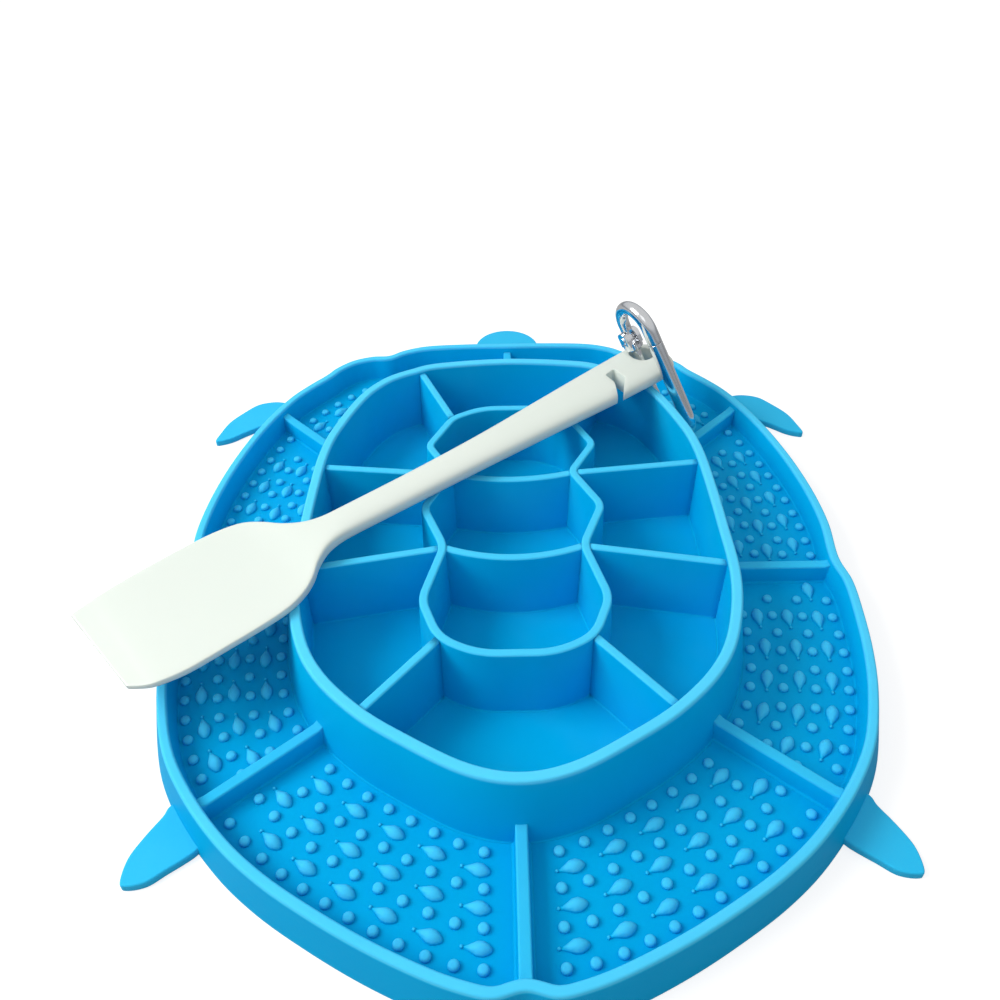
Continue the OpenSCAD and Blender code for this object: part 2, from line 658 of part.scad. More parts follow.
module clip_body() {
    knuckle_r = knuckle_d / 2;
    barrel_to = knuckle_from + knuckle_cone + knuckle_barrel;
    color(chrome) on_clip() {
        difference() {
            union() {
                translate([0, 0, -clip_down])
                    cylinder(d = limb_d, h = clip_down + knuckle_from + knuckle_cone, $fn = 32);
                translate([0, 0, knuckle_from])
                    cylinder(d1 = limb_d, d2 = knuckle_d, h = knuckle_cone, $fn = 48);
                translate([0, 0, knuckle_from + knuckle_cone])
                    cylinder(d = knuckle_d, h = knuckle_barrel, $fn = 48);
                intersection() {
                    union() {
                        round_rivet(2 * cheek_r, -cheek_w / 2, cheek_w / 2);
                        translate([-cheek_r, -cheek_w / 2, barrel_to - over])
                            cube([2 * cheek_r, cheek_w, pivot_up - barrel_to + over]);
                    }
                    translate([0, 0, knuckle_from]) cylinder(d = knuckle_d + over, h = pivot_up, $fn = 48);
                }
            }
            round_rivet(2 * pocket_r, -slot_w / 2, slot_w / 2);
            translate([-knuckle_r, -slot_w / 2, pivot_up - slot_floor])
                cube([knuckle_d, slot_w, slot_floor + cheek_r + over]);
            translate([0, -slot_w / 2, pivot_up - pocket_r])
                cube([knuckle_r + over, slot_w, pocket_r]);
            round_rivet(rivet_d, -knuckle_r - over, knuckle_r + over, 24);
        }
        translate([clip_w, 0, -clip_down])
            cylinder(d1 = limb_d, d2 = bow_d, h = clip_down + seam_up, $fn = 32);
        translate([bend_r, 0, -clip_down]) mirror([0, 0, 1]) bend(limb_d);
    }
}

module clip_bow() {
    tube_from = pivot_up + cheek_r + bow_play;
    color(chrome) on_clip() {
        difference() {
            union() {
                round_rivet(2 * (pocket_r - bow_play), tang_from, tang_from + tang_t);
                translate([-limb_d / 2 + bow_play, tang_from, pivot_up])
                    cube([limb_d - 2 * bow_play, tang_t, tube_from - pivot_up + tang_t]);
                translate([0, 0, tube_from]) cylinder(d = bow_d, h = clip_up - tube_from, $fn = 32);
            }
            round_rivet(rivet_d + 2 * rivet_fit, tang_from - over, tang_from + tang_t + over, 24);
        }
        translate([bend_r, 0, clip_up]) bend(bow_d);
        translate([clip_w, 0, seam_up + seam_gap])
            cylinder(d = bow_d, h = clip_up - seam_up - seam_gap, $fn = 32);
    }
}

module clip_rivet() {
    head_from = cheek_w / 2;
    color(chrome) on_clip() {
        round_rivet(rivet_d, -head_from, head_from, 24);
        round_rivet(rivet_head_d, head_from, head_from + rivet_head_t, 24);
        round_rivet(rivet_head_d, -head_from - rivet_head_t, -head_from, 24);
    }
}

// Torsion spring round the rivet: one leg on the pocket's floor and one beside the tang
spring_turns = 1.15;
spring_pitch_share = 2.2;
spring_pitch = spring_pitch_share * wire_d;
spring_play = 0.25;
spring_r = (rivet_d + wire_d) / 2 + spring_play;
spring_leg = 0.9;
spring_rings = 8;
spring_sides = 6;
spring_coil = [for (k = [0 : ceil(spring_turns * spring_rings)])
    let (a = min(360 * k / spring_rings, 360 * spring_turns))
    [spring_r * cos(a), spring_from + wire_d / 2 + spring_pitch * a / 360, spring_r * sin(a)]];
spring_path = concat(
    [spring_coil[0] - [0, 0, spring_leg]],
    spring_coil,
    [let (a = 360 * spring_turns) spring_coil[len(spring_coil) - 1]
        + spring_leg * [-sin(a), 0, cos(a)]]);
// Least distance between windings, less the wire
spring_gaps = [for (i = [0 : len(spring_coil) - 1])
    for (j = [i + spring_rings / 2 : 1 : len(spring_coil) - 1])
        norm(spring_coil[i] - spring_coil[j]) - wire_d];
echo(least_spring_gap = min(spring_gaps));

// Round tube along a path whose bends all lie near the X and Z plane
module wire(path, d) {
    last = len(path) - 1;
    stack([for (i = [0 : last])
        let (along = unit(path[min(i + 1, last)] - path[max(i - 1, 0)]),
            side = unit(cross([0, 1, 0], along)), up = cross(along, side))
        [for (k = [0 : spring_sides - 1]) let (a = 360 * k / spring_sides)
            path[i] + d / 2 * (cos(a) * side + sin(a) * up)]]);
}

module clip_spring() {
    color(chrome) on_clip() translate([0, 0, pivot_up]) wire(spring_path, wire_d);
}

mat_floor();
mat_rim();
mat_ribs();
basin_wall();
basin_dividers();
head();
fore_flipper_left();
fore_flipper_right();
rear_flipper_left();
rear_flipper_right();
nubs_front_right();
nubs_right_front();
nubs_right_back();
nubs_back_right();
nubs_back_left();
nubs_left_back();
nubs_left_front();
nubs_front_left();
spatula();
clip_body();
clip_bow();
clip_rivet();
clip_spring();
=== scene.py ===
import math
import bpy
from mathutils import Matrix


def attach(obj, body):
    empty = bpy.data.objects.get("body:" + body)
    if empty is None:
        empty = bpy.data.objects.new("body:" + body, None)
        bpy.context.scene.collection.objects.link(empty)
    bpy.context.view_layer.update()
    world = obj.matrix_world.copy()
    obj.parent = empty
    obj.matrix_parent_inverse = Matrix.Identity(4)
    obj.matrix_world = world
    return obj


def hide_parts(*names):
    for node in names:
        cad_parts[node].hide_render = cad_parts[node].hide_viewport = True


bl_info = {
    "name": "Turtle Lick Mat",
    "version": (1, 0, 0),
    "blender": (4, 5, 0),
    "location": "3D View > Sidebar > Lick Mat",
    "description": "Silicone lick mat with a divided basin, a spatula and a spring clip",
    "category": "Object",
}

import bmesh
import bpy
from mathutils import Euler, Matrix, Vector, kdtree

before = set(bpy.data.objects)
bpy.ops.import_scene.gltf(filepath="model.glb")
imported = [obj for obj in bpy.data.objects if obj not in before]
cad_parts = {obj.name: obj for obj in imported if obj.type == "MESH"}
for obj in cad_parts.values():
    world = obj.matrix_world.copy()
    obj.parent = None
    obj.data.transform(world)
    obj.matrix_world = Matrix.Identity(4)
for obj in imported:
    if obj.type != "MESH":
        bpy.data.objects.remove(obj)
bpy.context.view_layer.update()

# Painted light and shade of the silicone, in shares of the way from its own colour to its paler
# one: painted light on the top edges, the flippers and the nub tops, and painted shade on floors,
# the feet of the walls and the outside of the rim
PAINTED_SHADE = -0.3
RIM_TOP_PAINTED_LIGHT = 0.7
BASIN_TOP_PAINTED_LIGHT = 0.85
DIVIDER_TOP_PAINTED_LIGHT = 0.6
RIB_TOP_PAINTED_LIGHT = 0.3
FIN_PAINTED_LIGHT = 0.3
NUB_TOP_PAINTED_LIGHT = 0.5
NUB_LIGHT_RISE = 0.0011  # height over which a nub's painted light rises by 1

# In roundings of the edge: where a wall's side ends below its rounded edge, and how far down the
# painted light on the top reaches
BELOW_EDGE = 1.8
PAINTED_LIGHT_EDGE = 1.5
TINY = 0.0001  # a tenth of a millimetre: the least lean of a side near its top, and a margin

# The hanging hole of the spatula, which the clip hangs in, in shares of the mat
HOLE_SHARES = (0.477, 0.679)

# Outlines in shares of the sizes below, anticlockwise from the front and for the right half only
RIM_SHARES = [
    (0, -0.992), (0.064, -1.003), (0.119, -0.996), (0.208, -0.972), (0.342, -0.923),
    (0.47, -0.866), (0.594, -0.802), (0.703, -0.729), (0.81, -0.632), (0.894, -0.526),
    (0.949, -0.401), (0.978, -0.291), (0.994, -0.178), (1, -0.081), (0.986, 0),
    (0.998, 0.121), (0.99, 0.243), (0.965, 0.372), (0.926, 0.498), (0.879, 0.607),
    (0.818, 0.709), (0.762, 0.773), (0.701, 0.831), (0.668, 0.87), (0.609, 0.912),
    (0.535, 0.934), (0.47, 0.938), (0.411, 0.968), (0.317, 0.992), (0.158, 1), (0, 1),
]
BASIN_SHARES = [
    (0, -1), (0.204, -0.97), (0.439, -0.878), (0.637, -0.781), (0.815, -0.651),
    (0.924, -0.503), (0.994, -0.283), (1, -0.018), (0.996, 0.212), (0.986, 0.36),
    (0.962, 0.476), (0.922, 0.575), (0.876, 0.67), (0.817, 0.764), (0.757, 0.828),
    (0.678, 0.885), (0.562, 0.932), (0.404, 0.974), (0, 1),
]
# Each rib: its end in the rim, in shares of the mat, and in the basin's wall, in shares of that
RIB_SHARES = [
    ((0, -0.985), (0, -0.985)),
    ((0.798, -0.647), (0.788, -0.682)),
    ((0.98, -0.004), (0.98, -0.065)),
    ((0.847, 0.664), (0.924, 0.576)),
    ((0, 0.985), (0, 0.985)),
]
# Bends of the ring of dividers, in shares of the basin, each with the reach of its rounding
FOOT = (0.334, -0.511)
NECK_FRONT = (0.328, -0.115)
NECK_BACK = (0.307, 0.27)
CROWN = (0.314, 0.61)
RING_BENDS = [
    ((0.167, -0.575), 0.009), (FOOT, 0.005), ((0.416, -0.356), 0.004), (NECK_FRONT, 0.0035),
    ((0.437, 0.082), 0.003), (NECK_BACK, 0.0025), ((0.435, 0.434), 0.0024), (CROWN, 0.003),
    ((0.157, 0.672), 0.008),
]
# Spokes run from a bend of the ring towards a point in or beyond the basin's wall
SPOKES = [
    (FOOT, (0.69, -0.82)), (NECK_FRONT, (1.05, -0.215)), (NECK_BACK, (1.05, 0.33)),
    (CROWN, (0.54, 0.99)),
]
# Cross walls: the bend where each ends, and where its middle lies, in shares of the basin
CROSSES = [(NECK_FRONT, -0.165), (NECK_BACK, 0.237)]
# Flippers: their centre in shares of the mat, and their outline round it in shares of the reach
FORE_REACH = 0.028
REAR_REACH = 0.022
FORE_FIN = ((0.847, 0.688), [
    (-0.27, 0.11), (-0.13, -0.11), (0.16, -0.02), (0.38, -0.14), (0.52, -0.24), (0.63, -0.33),
    (0.75, -0.39), (0.86, -0.4), (0.83, -0.23), (0.75, 0.02), (0.58, 0.26), (0.45, 0.4),
    (0.29, 0.46), (0.12, 0.46), (-0.13, 0.36),
])
REAR_FIN = ((0.817, -0.623), [
    (-0.43, -0.14), (-0.2, -0.41), (-0.09, -0.51), (0.09, -0.64), (0.27, -0.77), (0.47, -0.81),
    (0.55, -0.76), (0.54, -0.5), (0.43, -0.25), (0.29, -0.01), (0.23, 0.13), (-0.02, 0.32),
])
# Spatula, in shares of its length, of half the blade's or handle's width and of its thickness.
# Blade: place and width on the near edge, place and width on the far edge, thickness
BLADE_SHARES = [
    (0.009, 0.7, 0, 0.885, 0.24), (0.026, 0.845, 0.022, 0.925, 0.28),
    (0.041, 0.915, 0.043, 0.955, 0.33), (0.076, 0.98, 0.08, 0.99, 0.36),
    (0.13, 0.974, 0.13, 1.025, 0.37), (0.183, 0.959, 0.183, 1.04, 0.39),
    (0.217, 0.922, 0.217, 1.01, 0.42), (0.244, 0.829, 0.244, 0.925, 0.47),
    (0.265, 0.693, 0.265, 0.741, 0.54), (0.285, 0.505, 0.285, 0.495, 0.62),
    (0.308, 0.362, 0.308, 0.315, 0.7),
]
# Handle: place, width on the near edge, width on the far edge, thickness
HANDLE_SHARES = [
    (0.333, 0.665, 0.5, 0.76), (0.366, 0.68, 0.465, 0.8), (0.45, 0.75, 0.425, 0.82),
    (0.53, 0.82, 0.415, 0.85), (0.624, 0.92, 0.46, 0.88), (0.742, 1.07, 0.59, 0.94),
    (0.836, 1.2, 0.7, 0.98), (0.92, 1.27, 0.78, 1), (0.96, 1.26, 0.81, 1),
    (0.98, 1.16, 0.76, 0.97), (0.993, 0.92, 0.58, 0.88), (1, 0.5, 0.3, 0.66),
]
# Notch: its bends from the hanging hole, along and across the handle, in shares of its width
NOTCH_BENDS = [
    (-1.037, -0.05), (-1.068, -0.33), (-1.238, -0.58), (-1.375, -0.86), (-1.2, -0.86),
    (-1.07, -0.57), (-0.806, -0.35), (-0.778, -0.02),
]
NUB_NODES = [
    "nubs_front_right", "nubs_right_front", "nubs_right_back", "nubs_back_right",
    "nubs_back_left", "nubs_left_back", "nubs_left_front", "nubs_front_left",
]

# Camera, as solved from the photograph: lens in millimetres, angles, and place in metres
LENS = 33.98
SHIFT = -0.0537
PITCH, YAW, ROLL = math.radians(38.634), math.radians(-0.083), math.radians(-0.821)
CAMERA_PLACE = (-0.00396, -0.20376, 0.21946)
# Lamps: name, place, size in metres and power in watts
LAMPS = (("key", (-0.66, -0.05, 0.6), 0.45, 6.0), ("fill", (-0.2, -0.6, 0.8), 0.5, 0.4))
LAMPS_AIM = (0, 0, 0.01)


def length(name, description, default):
    return bpy.props.FloatProperty(
        name=name, description=description, default=default, unit="LENGTH", precision=5
    )


def colour(name, description, default):
    return bpy.props.FloatVectorProperty(
        name=name, description=description, default=default, size=4, min=0, max=1, subtype="COLOR"
    )


class MatSizes(bpy.types.PropertyGroup):
    """Sizes of the mat, its rim, ribs and floor"""

    half_width: length("Half width", "Half width over the top of the rim", 0.101)
    half_length: length("Half length", "Half length over the top of the rim", 0.1235)
    height: length("Rim height", "Height of the rim above the ground", 0.0118)
    rim: length("Rim thickness", "Thickness of the rim at its top", 0.0026)
    flare: length("Rim flare", "How far the outside of the rim flares out at its foot", 0.0024)
    draft: length("Rim draft", "How far the inside of the rim leans in at its foot", 0.001)
    edge: length("Edge rounding", "Rounding of the top edges", 0.0007)
    floor: length("Trough floor", "Height of the floor of the troughs above the ground", 0.003)
    rib: length("Rib thickness", "Thickness of a rib at its top", 0.003)
    rib_height: length("Rib height", "Height of the ribs above the ground", 0.009)
    fin: length("Fin thickness", "Thickness of the flippers and the head", 0.0024)


class BasinSizes(bpy.types.PropertyGroup):
    """Sizes of the basin and its dividers"""

    half_width: length("Half width", "Half width to the middle of the wall", 0.0628)
    half_length: length("Half length", "Half length to the middle of the wall", 0.0866)
    back: length("Set back", "How far the basin lies behind the middle of the mat", 0.0051)
    height: length("Height", "Height of the wall above the ground", 0.0244)
    floor: length("Floor", "Height of the basin's floor above the ground", 0.0007)
    wall: length("Wall thickness", "Thickness of the wall at its top", 0.003)
    flare: length("Flare", "How far the outside flares out at its foot", 0.0028)
    divider: length("Divider thickness", "Thickness of a divider at its top", 0.0025)
    draft: length("Draft", "How far the inner walls lean out at their foot", 0.0007)
    ring_height: length("Ring height", "Height of the ring of dividers above the ground", 0.0235)
    spoke_height: length("Spoke height", "Height of the spokes and cross walls", 0.0229)


class SpatulaSizes(bpy.types.PropertyGroup):
    """Sizes of the spatula"""

    length: length("Length", "Length of the spatula", 0.213)
    blade: length("Blade width", "Width of the blade", 0.041)
    handle: length("Handle width", "Width of the handle at its end", 0.0189)
    thickness: length("Thickness", "Thickness of the handle at its end", 0.007)
    scoop: length("Scoop", "How deep the blade is scooped", 0.0009)
    hole: length("Hanging hole", "Diameter of the hanging hole", 0.009)
    hole_back: length("Hole from end", "Distance of the hanging hole from the end", 0.0094)
    lift: length("Height", "Height of the underside above the ground", 0.0247)
    turn: bpy.props.FloatProperty(
        name="Direction", description="Direction of the handle from +X", default=math.radians(39.6),
        subtype="ANGLE",
    )


class ClipSizes(bpy.types.PropertyGroup):
    """Sizes of the clip's visible wire and how it hangs"""

    width: length("Width", "Distance between the clip's two limbs", 0.016)
    wire: length("Wire radius", "Half the thickness of the wire", 0.0026)
    up: length("Up", "Where the bow starts to bend, above the hole", 0.0153)
    down: length("Down", "Where the body starts to bend, below the hole", 0.0205)
    seam: length("Seam", "Where the bow meets the body, above the hole", 0.01)
    lean: bpy.props.FloatVectorProperty(
        name="Lean", description="How the clip leans in its hole", subtype="EULER",
        default=(math.radians(17), math.radians(-22.5), math.radians(-63.5)),
    )


class Finishes(bpy.types.PropertyGroup):
    """Colours of the three materials"""

    silicone: colour("Silicone", "Colour of the mat", (0.0, 0.425, 0.75, 1))
    # The paler colour serves the mottle and the painted light on tops, flippers and nubs
    silicone_light: colour(
        "Silicone, pale", "Paler cast of the mat's thin edges", (0.1, 0.63, 0.93, 1)
    )
    plastic: colour("Plastic", "Colour of the spatula", (0.72, 0.77, 0.71, 1))
    chrome: colour("Chrome", "Colour of the clip", (0.86, 0.87, 0.88, 1))


# Outlines


def spline_point(a, b, c, d, t):
    """A point of the smooth curve between b and c, with a before and d after them."""
    return (
        b + (c - a) * (t / 2) + (a - 2.5 * b + 2 * c - d / 2) * (t * t)
        + (d - 3 * c + 3 * b - a) * (t * t * t / 2)
    )


def spline_loop(points, steps):
    n = len(points)
    return [
        spline_point(points[i - 1], points[i], points[(i + 1) % n], points[(i + 2) % n], k / steps)
        for i in range(n) for k in range(steps)
    ]


def spline_path(points, steps):
    last = len(points) - 1
    inner = [
        spline_point(
            points[max(i - 1, 0)], points[i], points[i + 1], points[min(i + 2, last)], k / steps
        )
        for i in range(last) for k in range(steps)
    ]
    return inner + [points[last]]


def mirrored(half):
    """The whole outline of a right half that starts at the front and ends at the back."""
    return half + [(-x, y) for x, y in half[-2:0:-1]]


def sized(shares, width, depth, back=0.0):
    return [Vector((x * width, back + y * depth)) for x, y in shares]


def right_of(v):
    """A direction turned a quarter to the right."""
    return Vector((v.y, -v.x))


def inset(loop, depth):
    """A loop that runs anticlockwise, moved inwards along its averaged normals."""
    n = len(loop)
    return [
        p - depth * right_of((loop[(i + 1) % n] - loop[i - 1]).normalized())
        for i, p in enumerate(loop)
    ]


def softened(bends, spacing, closed=False):
    """A path through bends, each a point with the reach of its rounding, in even steps."""
    points = [p for p, _ in bends]
    n = len(points)
    ends = points + points[:1] if closed else points
    places = [0.0]
    for a, b in zip(ends, ends[1:]):
        places.append(places[-1] + (b - a).length)
    total = places[-1]

    def at(x):
        x = x % total if closed else min(max(x, 0.0), total)
        k = 0
        while k < len(places) - 2 and places[k + 1] <= x:
            k += 1
        return ends[k].lerp(ends[k + 1], (x - places[k]) / (places[k + 1] - places[k]))

    curves = []
    for i in range(0 if closed else 1, n if closed else n - 1):
        room = min((points[i] - points[i - 1]).length, (points[(i + 1) % n] - points[i]).length) / 2
        reach = min(bends[i][1], room)
        here = places[i]
        curves.append((here, reach, at(here - reach), points[i], at(here + reach)))
    count = math.ceil(total / spacing)
    out = []
    for i in range(count + (0 if closed else 1)):
        x = total * i / count
        p = at(x)
        for here, reach, a, b, c in curves:
            d = (x - here + total / 2) % total - total / 2 if closed else x - here
            if abs(d) < reach:
                u = (d + reach) / (2 * reach)
                p = a * (1 - u) ** 2 + b * (2 * u * (1 - u)) + c * u * u
                break
        out.append(p)
    return out


def other_side(path):
    """The mirror image of a path, in the same order."""
    return [Vector((-p.x, p.y)) for p in path]


def flipped(loop):
    """The mirror image of a loop, which still runs anticlockwise."""
    return other_side(reversed(loop))


def rim_loop():
    m = bpy.context.scene.mat_sizes
    return spline_loop(sized(mirrored(RIM_SHARES), m.half_width, m.half_length), 6)


def basin_loop():
    b = bpy.context.scene.basin_sizes
    return spline_loop(sized(mirrored(BASIN_SHARES), b.half_width, b.half_length, b.back), 10)


def at_basin(share):
    """The point at a share of the basin."""
    b = bpy.context.scene.basin_sizes
    return sized([share], b.half_width, b.half_length, b.back)[0]


def hole_at(context, height):
    """The place of the hanging hole at a height above the ground."""
    m = context.scene.mat_sizes
    x, y = HOLE_SHARES
    return Matrix.Translation((x * m.half_width, y * m.half_length, height))


def meeting(loop, start, end):
    """Where the line from start through end first crosses a loop."""
    way = end - start
    found = []
    for i, p in enumerate(loop):
        edge = p - loop[i - 1]
        turn = way.x * edge.y - way.y * edge.x
        if abs(turn) > 1e-12:
            gap = loop[i - 1] - start
            along = (gap.x * edge.y - gap.y * edge.x) / turn
            across = (gap.x * way.y - gap.y * way.x) / turn
            if along > 0 and 0 <= across <= 1:
                found.append(along)
    return start + way * min(found)


def smoothstep(x):
    x = min(max(x, 0.0), 1.0)
    return x * x * (3 - 2 * x)


# Shells


def level(loop, z):
    return [Vector((p.x, p.y, z)) for p in loop]


def first_ring(bm, points):
    verts = [bm.verts.new(p) for p in points]
    for i, v in enumerate(verts):
        bm.edges.new((verts[i - 1], v))
    return verts


def ring_edges(verts):
    """The edges of a ring, one for each of its vertices."""
    ring = set(verts)
    return [e for v in verts for e in v.link_edges if e.other_vert(v) in ring and e.verts[0] == v]


def next_ring(bm, verts, points):
    """Extrudes a ring of edges and sets the new ring on points."""
    new = bmesh.ops.extrude_edge_only(bm, edges=ring_edges(verts))["geom"]
    fresh = {v for v in new if isinstance(v, bmesh.types.BMVert)}
    out = []
    for v, p in zip(verts, points):
        w = next(e.other_vert(v) for e in v.link_edges if e.other_vert(v) in fresh)
        w.co = p
        out.append(w)
    return out


def rings(bm, loop, profile):
    """A wall along a loop through insets and heights. Gives its first and its last ring."""
    first = last = first_ring(bm, level(inset(loop, profile[0][0]), profile[0][1]))
    for depth, z in profile[1:]:
        last = next_ring(bm, last, level(inset(loop, depth), z))
    return first, last


def fill(bm, verts):
    bmesh.ops.edgeloop_fill(bm, edges=ring_edges(verts))


def sweep(bm, path, profile, closed=False):
    """A wall along a path: its profile is given as distances to the right and heights."""
    n = len(path)
    last = first = None
    for i in range(n + 1 if closed else n):
        before = path[(i - 1) % n] if closed or i > 0 else path[0]
        after = path[(i + 1) % n] if closed or i < n - 1 else path[n - 1]
        side = right_of((after - before).normalized())
        points = []
        for distance, z in profile:
            q = path[i % n] + side * distance
            points.append(Vector((q.x, q.y, z)))
        if last is None:
            first = last = first_ring(bm, points)
        else:
            last = next_ring(bm, last, points)
    if not closed:
        fill(bm, first)
        fill(bm, last)


def quarter(steps):
    return [k / steps * math.pi / 2 for k in range(steps + 1)]


def to_side(x, z, across, up, steps):
    """Rounding of the corner at (x, z) of a profile: starts up from it and ends across from it."""
    return [(x + across * (1 - math.cos(a)), z + up * (1 - math.sin(a))) for a in quarter(steps)]


def to_height(x, z, across, up, steps):
    """Rounding of the corner at (x, z) of a profile: starts across from it and ends up from it."""
    return [(x + across * (1 - math.sin(a)), z + up * (1 - math.cos(a))) for a in quarter(steps)]


def upright(thickness, draft, top, edge, floor, fillet, sunk):
    """Profile of a wall with rounded top edges, drafted sides and fillets at its foot."""
    half = thickness / 2
    foot = half + draft
    side = [(-foot - fillet, floor - sunk)]
    side += to_height(-foot, floor, -fillet, fillet, 4)
    side += [(-half - draft * 0.03, top - edge * 1.6)]
    side += to_side(-half, top, edge, -edge, 3)
    return side + [(-distance, z) for distance, z in reversed(side)]


def capped(bm, verts, rounding):
    """Closes a ring with a flat face and rounds its edges."""
    edges = ring_edges(verts)
    bmesh.ops.edgeloop_fill(bm, edges=edges)
    bmesh.ops.bevel(
        bm, geom=edges, offset=rounding, segments=2, profile=0.5, affect="EDGES", material=-1
    )


def mesh_of(bm, name):
    """The mesh of a bmesh, which is freed."""
    mesh = bpy.data.meshes.new(name)
    bm.to_mesh(mesh)
    bm.free()
    return mesh


def placed(name, data):
    """A new object in the scene."""
    made = bpy.data.objects.new(name, data)
    bpy.context.scene.collection.objects.link(made)
    return made


def smooth(mesh):
    for polygon in mesh.polygons:
        polygon.use_smooth = True


def finished(bm, name, material, body, painted_light=None):
    """Makes the object of a closed mesh, with its normals outwards and the painted light and shade
    of its points marked.
    """
    bmesh.ops.remove_doubles(bm, verts=bm.verts, dist=1e-7)
    bmesh.ops.recalc_face_normals(bm, faces=bm.faces)
    bm.normal_update()
    # Painted light and painted shade of each point, as shares toward the paler colour
    shades = [painted_light(v.co, v.normal) for v in bm.verts] if painted_light else None
    mesh = mesh_of(bm, name)
    if shades:
        mesh.attributes.new("painted_light", "FLOAT", "POINT").data.foreach_set("value", shades)
    piece = placed(name, mesh)
    smooth(mesh)
    mesh.materials.append(material)
    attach(piece, body)
    return piece


def painted_shade_at_foot(co, floor):
    """Painted shade of a mesh point: darker on the trough's floor and at the feet of its walls,
    where shade falls.
    """
    below, above = 0.0004, 0.0008
    return PAINTED_SHADE if floor - below < co.z < floor + above else 0.0


def even_shading(piece):
    """Keeps the flats of a piece flat in the light beside their roundings."""
    modifier = piece.modifiers.new("Even shading", "WEIGHTED_NORMAL")
    modifier.weight = 60
    modifier.keep_sharp = True


# Materials


def node_of(tree, kind, place, **values):
    node = tree.nodes.new(kind)
    node.location = place
    for name, value in values.items():
        if name in node.inputs:
            node.inputs[name].default_value = value
        else:
            setattr(node, name, value)
    return node


def surface(name, colours, clouds, gloss, grain, bump):
    """A new material: clouds of two colours, an uneven gloss and a fine grain. Clouds and grain
    are (scale, detail), gloss is the least and the most roughness, bump (strength, distance)."""
    material = bpy.data.materials.new(name)
    material.use_nodes = True
    tree = material.node_tree
    link = tree.links.new
    shader = tree.nodes["Principled BSDF"]
    place = node_of(tree, "ShaderNodeTexCoord", (-1100, 0))
    cloud = node_of(tree, "ShaderNodeTexNoise", (-850, 150), Scale=clouds[0], Detail=clouds[1])
    link(place.outputs["Object"], cloud.inputs["Vector"])
    tint = node_of(tree, "ShaderNodeMix", (-450, 150), data_type="RGBA")
    tint.inputs[6].default_value, tint.inputs[7].default_value = colours
    link(cloud.outputs["Fac"], tint.inputs[0])
    link(tint.outputs[2], shader.inputs["Base Color"])
    polish = node_of(tree, "ShaderNodeMapRange", (-450, -100))
    polish.inputs["To Min"].default_value, polish.inputs["To Max"].default_value = gloss
    link(cloud.outputs["Fac"], polish.inputs["Value"])
    link(polish.outputs["Result"], shader.inputs["Roughness"])
    skin = node_of(tree, "ShaderNodeTexNoise", (-850, -300), Scale=grain[0], Detail=grain[1])
    link(place.outputs["Object"], skin.inputs["Vector"])
    relief = node_of(tree, "ShaderNodeBump", (-450, -350), Strength=bump[0], Distance=bump[1])
    link(skin.outputs["Fac"], relief.inputs["Height"])
    link(relief.outputs["Normal"], shader.inputs["Normal"])
    return material, cloud, tint


def set_inputs(material, **values):
    """Sets sockets of a material's shader, with underscores for the spaces in their names."""
    shader = material.node_tree.nodes["Principled BSDF"]
    for name, value in values.items():
        shader.inputs[name.replace("_", " ")].default_value = value


def silicone():
    """Satin silicone: painted light towards the top edges and painted shade low down, faintly
    mottled, with a fine skin.
    """
    name = "blue_silicone"
    if name in bpy.data.materials:
        return bpy.data.materials[name]
    f = bpy.context.scene.finishes
    material, mottle, tint = surface(
        name, (f.silicone, f.silicone_light), (45.0, 3.0), (0.42, 0.54), (900.0, 2.0),
        (0.08, 0.0003),
    )
    # The painted light and shade that a piece gives its points, with the mottle added to it
    tree = material.node_tree
    link = tree.links.new
    tint.clamp_factor = False
    # Reads the painted light and painted shade of each point
    painted_light = node_of(tree, "ShaderNodeAttribute", (-850, 400), attribute_name="painted_light")
    cast = node_of(tree, "ShaderNodeMapRange", (-650, 150))
    cast.inputs["To Min"].default_value = -0.1
    cast.inputs["To Max"].default_value = 0.12
    link(mottle.outputs["Fac"], cast.inputs["Value"])
    blend = node_of(tree, "ShaderNodeMath", (-550, 250), operation="ADD")
    link(painted_light.outputs["Fac"], blend.inputs[0])
    link(cast.outputs["Result"], blend.inputs[1])
    link(blend.outputs["Value"], tint.inputs[0])
    set_inputs(
        material, IOR=1.41, Specular_IOR_Level=0.15, Specular_Tint=(0.12, 0.6, 1.0, 1),
        Subsurface_Weight=0.12, Subsurface_Radius=(0.2, 0.8, 1.0), Subsurface_Scale=0.002,
    )
    return material


def shaded(base, *shares):
    """A slightly darker colour: shares of the base's red, green and blue."""
    return [part * share for part, share in zip(base, shares)] + [1]


def plastic():
    """White moulded plastic with a satin surface."""
    name = "white_plastic"
    if name in bpy.data.materials:
        return bpy.data.materials[name]
    base = bpy.context.scene.finishes.plastic
    material = surface(
        name, (base, shaded(base, 0.95, 0.97, 0.96)), (30.0, 2.0), (0.34, 0.46), (1400.0, 1.0),
        (0.05, 0.0002),
    )[0]
    set_inputs(
        material, Subsurface_Weight=0.1, Subsurface_Radius=(1.0, 0.9, 0.8), Subsurface_Scale=0.001
    )
    return material


def chrome():
    """Polished chrome plate with faint polishing marks."""
    name = "chrome_plate"
    if name in bpy.data.materials:
        return bpy.data.materials[name]
    base = bpy.context.scene.finishes.chrome
    material = surface(
        name, (base, shaded(base, 0.86, 0.87, 0.89)), (160.0, 2.0), (0.1, 0.2), (2500.0, 1.0),
        (0.03, 0.0001),
    )[0]
    set_inputs(material, Metallic=1.0)
    return material


# Pieces


